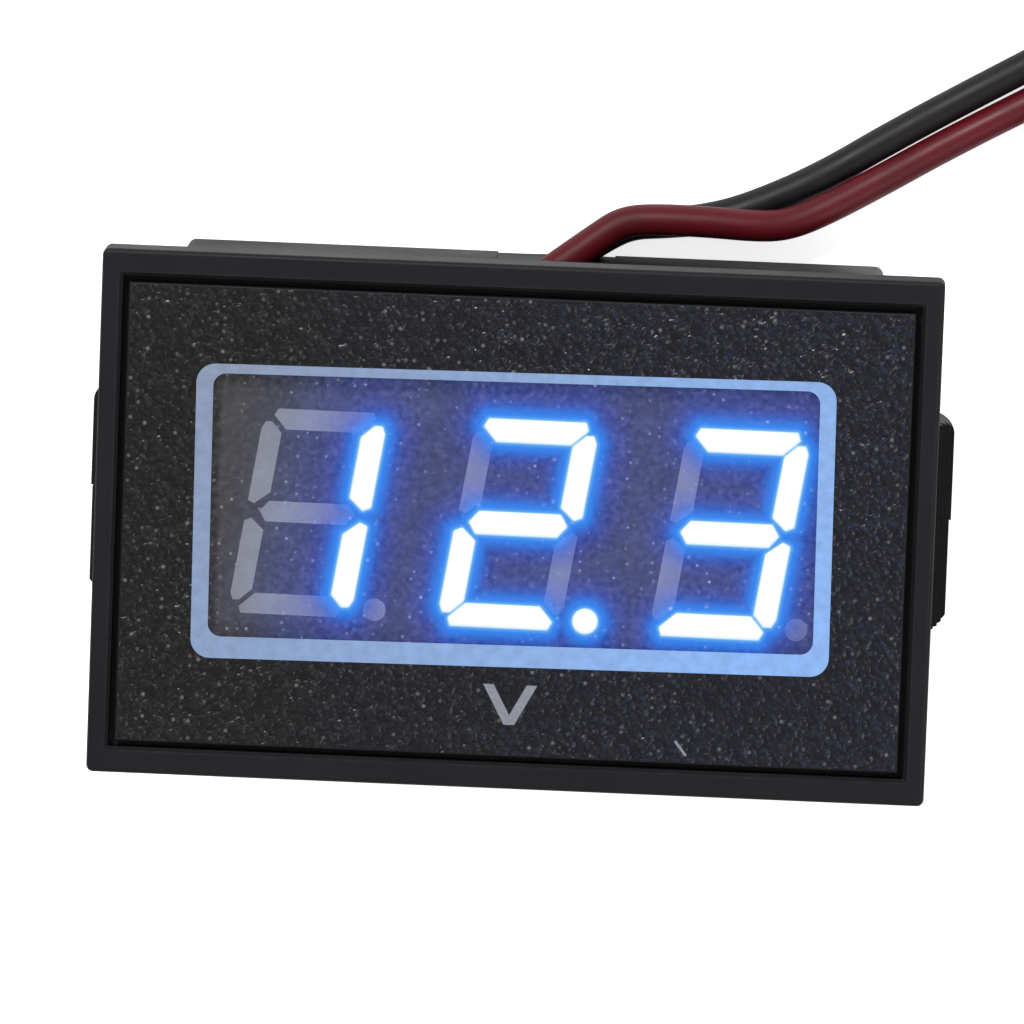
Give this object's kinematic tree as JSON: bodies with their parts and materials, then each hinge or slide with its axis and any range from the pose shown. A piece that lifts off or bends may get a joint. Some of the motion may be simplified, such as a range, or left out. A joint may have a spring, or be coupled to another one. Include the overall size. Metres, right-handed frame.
{
  "type": "digital panel meter",
  "caption": "Snap-in panel meter with a seven-segment display behind a smoked window, ratchet side clips and two supply leads with their slack in a tied coil.",
  "frame": {"origin": "centre of the case's rear rim, on the plane the meter lies on", "axes": "+X to the right across the display, +Y up the display, +Z out of the face"},
  "size_m": [0.0795, 0.0479, 0.022],
  "materials": {
    "case_plastic": "fine matt black moulding",
    "film": "pebbled black film",
    "smoked_window": "smoked clear film",
    "border_ink": "light grey print",
    "display_plastic": "dark grey moulding",
    "lit_segment": "lit milky resin",
    "dark_segment": "unlit milky resin",
    "led_die": "phosphor coated die",
    "circuit_board": "green solder mask",
    "tinned_metal": "tinned",
    "chip_plastic": "moulded black resin",
    "capacitor_can": "drawn can",
    "capacitor_ceramic": "fired ceramic",
    "potting_compound": "cured black resin",
    "red_insulation": "smooth red vinyl",
    "black_insulation": "smooth black vinyl",
    "tie_plastic": "black nylon"
  },
  "bodies": {
    "meter": {"case": "case_plastic", "front_plate": "case_plastic", "face_film": "film", "film_window": "smoked_window", "window_border": "border_ink", "display_housing": "display_plastic", "left_digit_lit": "lit_segment", "middle_digit_lit": "lit_segment", "right_digit_lit": "lit_segment", "lit_decimal_point": "lit_segment", "left_digit_dark": "dark_segment", "middle_digit_dark": "dark_segment", "right_digit_dark": "dark_segment", "dark_decimal_points": "dark_segment", "display_board": "circuit_board", "led_dies": "led_die", "display_pins": "tinned_metal", "circuit_board": "circuit_board", "controller_chip": "chip_plastic", "controller_legs": "tinned_metal", "voltage_regulator": "chip_plastic", "regulator_legs": "tinned_metal", "filter_capacitor_base": "chip_plastic", "filter_capacitor_can": "capacitor_can", "polarity_diode": "chip_plastic", "chip_resistors": "chip_plastic", "chip_capacitors": "capacitor_ceramic", "digit_transistors": "chip_plastic", "lead_conductors": "tinned_metal", "solder_joints": "tinned_metal", "potting": "potting_compound", "red_lead": "red_insulation", "black_lead": "black_insulation", "lead_coil": "black_insulation", "coil_tie": "tie_plastic", "red_lead_tip": "tinned_metal", "black_lead_tip": "tinned_metal"},
    "clip_left": {"clip_left": "case_plastic"},
    "clip_right": {"clip_right": "case_plastic"}
  },
  "joints": [
    {"name": "clip_right_bend", "type": "hinge", "parent": "meter", "child": "clip_right", "pos_m": [0.02115, 0.0001, 0.00275], "axis": [0, -1, 0], "range_deg": [0, 12], "stiffness_Nm_per_rad": 0.05},
    {"name": "clip_left_bend", "type": "hinge", "parent": "meter", "child": "clip_left", "pos_m": [-0.02115, 0.0001, 0.00275], "axis": [0, 1, 0], "range_deg": [0, 12], "stiffness_Nm_per_rad": 0.05}
  ]
}
